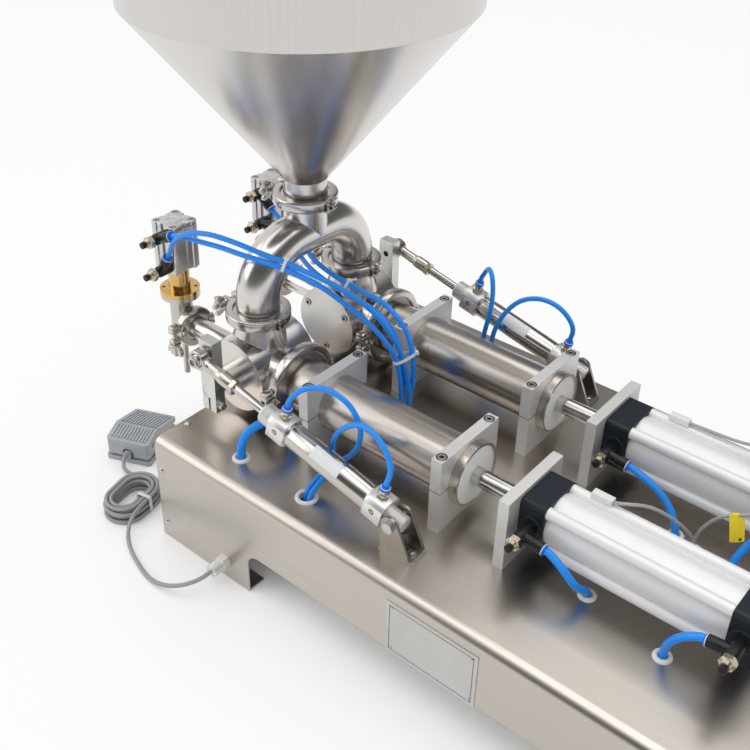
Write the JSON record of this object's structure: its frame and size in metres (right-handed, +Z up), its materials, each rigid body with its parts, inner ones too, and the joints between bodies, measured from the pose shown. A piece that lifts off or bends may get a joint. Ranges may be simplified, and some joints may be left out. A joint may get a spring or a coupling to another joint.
{
  "type": "piston filling machine",
  "caption": "Bench filling machine: a steel hopper feeds paired piston heads through rotary valves, driven by air cylinders, with shut-off nozzles and a foot pedal.",
  "frame": {"origin": "on the surface that it stands on, under the middle of the box round the machine and its pedal, without the pedal cord", "axes": "+X runs from the nozzles to the drive cylinders and the air inlet, -Y is the side of the pedal cord, +Z is up"},
  "size_m": [0.9778, 0.5138, 0.7411],
  "materials": {
    "base_steel": "brushed, warm grey",
    "screw_steel": "bright",
    "white_rubber": "smooth",
    "plate_metal": "satin",
    "valve_block": "satin",
    "control_case": "matt",
    "brass": "bright",
    "block_aluminium": "brushed",
    "dark_cap": "satin slate",
    "barrel_aluminium": "anodised silver",
    "bronze": "dull",
    "black_plastic": "satin black",
    "switch_plastic": "pale grey",
    "product_steel": "satin stainless",
    "white_plastic": "white",
    "rod_chrome": "polished",
    "piston_metal": "turned",
    "clamp_steel": "cast satin",
    "dark_steel": "dark",
    "gasket_rubber": "white",
    "cylinder_metal": "anodised and polished",
    "pedal_paint": "blue-grey",
    "blue_hose": "bright blue",
    "grey_lead": "grey",
    "grey_cord": "mid grey",
    "gland_metal": "pale"
  },
  "bodies": {
    "root": {"base_shell": "base_steel", "end_panels": "base_steel", "panel_screws": "screw_steel", "hose_grommets": "white_rubber", "blank_plate": "plate_metal", "solenoid_block": "valve_block", "control_unit": "control_case", "air_inlet": "brass", "cradle_bases": "block_aluminium", "cradle_caps": "block_aluminium", "cradle_screws": "screw_steel", "drive_plates": "block_aluminium", "drive_caps": "dark_cap", "drive_barrels": "barrel_aluminium", "drive_screws": "screw_steel", "rod_bushes": "bronze", "air_fittings": "black_plastic", "reed_switches": "switch_plastic", "fill_tubes": "product_steel", "guide_bushes": "white_plastic", "valve_bodies": "product_steel", "valve_covers": "product_steel", "cover_screws": "screw_steel", "manifold": "product_steel", "hopper": "product_steel", "clamp_jaws": "clamp_steel", "clamp_links": "dark_steel", "clamp_bolts": "screw_steel", "clamp_nuts": "clamp_steel", "gaskets": "gasket_rubber", "clevises": "product_steel", "clevis_pins": "screw_steel", "nozzle_bodies": "product_steel", "nozzle_columns": "brass", "compact_cylinders": "barrel_aluminium", "pedal_tray": "pedal_paint", "hoses": "blue_hose", "near_valve_hoses": "blue_hose", "far_valve_hoses": "blue_hose", "sensor_leads": "grey_lead", "pedal_cord": "grey_cord", "cord_hank": "grey_cord", "cord_gland": "gland_metal"},
    "near_piston": {"near_fill_piston": "white_plastic", "near_piston_rod": "rod_chrome", "near_drive_piston": "piston_metal"},
    "near_valve": {"near_valve_plug": "product_steel", "near_lever": "block_aluminium"},
    "near_cylinder": {"near_air_cylinder": "cylinder_metal"},
    "near_rod": {"near_air_rod": "rod_chrome"},
    "near_shutoff": {"near_needle": "rod_chrome"},
    "far_piston": {"far_fill_piston": "white_plastic", "far_piston_rod": "rod_chrome", "far_drive_piston": "piston_metal"},
    "far_valve": {"far_valve_plug": "product_steel", "far_lever": "block_aluminium"},
    "far_cylinder": {"far_air_cylinder": "cylinder_metal"},
    "far_rod": {"far_air_rod": "rod_chrome"},
    "far_shutoff": {"far_needle": "rod_chrome"},
    "treadle": {"pedal_treadle": "pedal_paint"}
  },
  "joints": [
    {"name": "near_piston_slide", "type": "slide", "parent": "root", "child": "near_piston", "axis": [1, 0, 0], "range_m": [-0.15, 0]},
    {"name": "near_valve_turn", "type": "hinge", "parent": "root", "child": "near_valve", "pos_m": [-0.25606, -0.082, 0.197], "axis": [0, 1, 0], "range_deg": [-90, 0]},
    {"name": "near_cylinder_swing", "type": "hinge", "parent": "root", "child": "near_cylinder", "pos_m": [0.02794, -0.174, 0.181], "axis": [0, 1, 0], "range_deg": [-10.5, 0]},
    {"name": "near_rod_slide", "type": "slide", "parent": "near_cylinder", "child": "near_rod", "axis": [-0.974, 0, 0.2264], "range_m": [0, 0.0432]},
    {"name": "near_shutoff_lift", "type": "slide", "parent": "root", "child": "near_shutoff", "axis": [0, 0, 1], "range_m": [0, 0.01]},
    {"name": "far_piston_slide", "type": "slide", "parent": "root", "child": "far_piston", "axis": [1, 0, 0], "range_m": [-0.15, 0]},
    {"name": "far_valve_turn", "type": "hinge", "parent": "root", "child": "far_valve", "pos_m": [-0.25606, 0.082, 0.197], "axis": [0, 1, 0], "range_deg": [-90, 0]},
    {"name": "far_cylinder_swing", "type": "hinge", "parent": "root", "child": "far_cylinder", "pos_m": [0.02794, 0.174, 0.181], "axis": [0, 1, 0], "range_deg": [-10.5, 0]},
    {"name": "far_rod_slide", "type": "slide", "parent": "far_cylinder", "child": "far_rod", "axis": [-0.974, 0, 0.2264], "range_m": [0, 0.0432]},
    {"name": "far_shutoff_lift", "type": "slide", "parent": "root", "child": "far_shutoff", "axis": [0, 0, 1], "range_m": [0, 0.01]},
    {"name": "pedal_press", "type": "hinge", "parent": "root", "child": "treadle", "pos_m": [-0.43383, -0.15285, 0.024], "axis": [0.9205, 0.3907, 0], "range_deg": [-5, 0], "stiffness_Nm_per_rad": 1.5, "springref_deg": 6.88}
  ],
  "couplings": [
    {"joint": "near_cylinder_swing", "follows": "near_valve_turn", "ratio": 0.11489},
    {"joint": "near_rod_slide", "follows": "near_valve_turn", "m_per_rad": -0.027257},
    {"joint": "far_cylinder_swing", "follows": "far_valve_turn", "ratio": 0.11489},
    {"joint": "far_rod_slide", "follows": "far_valve_turn", "m_per_rad": -0.027257}
  ]
}
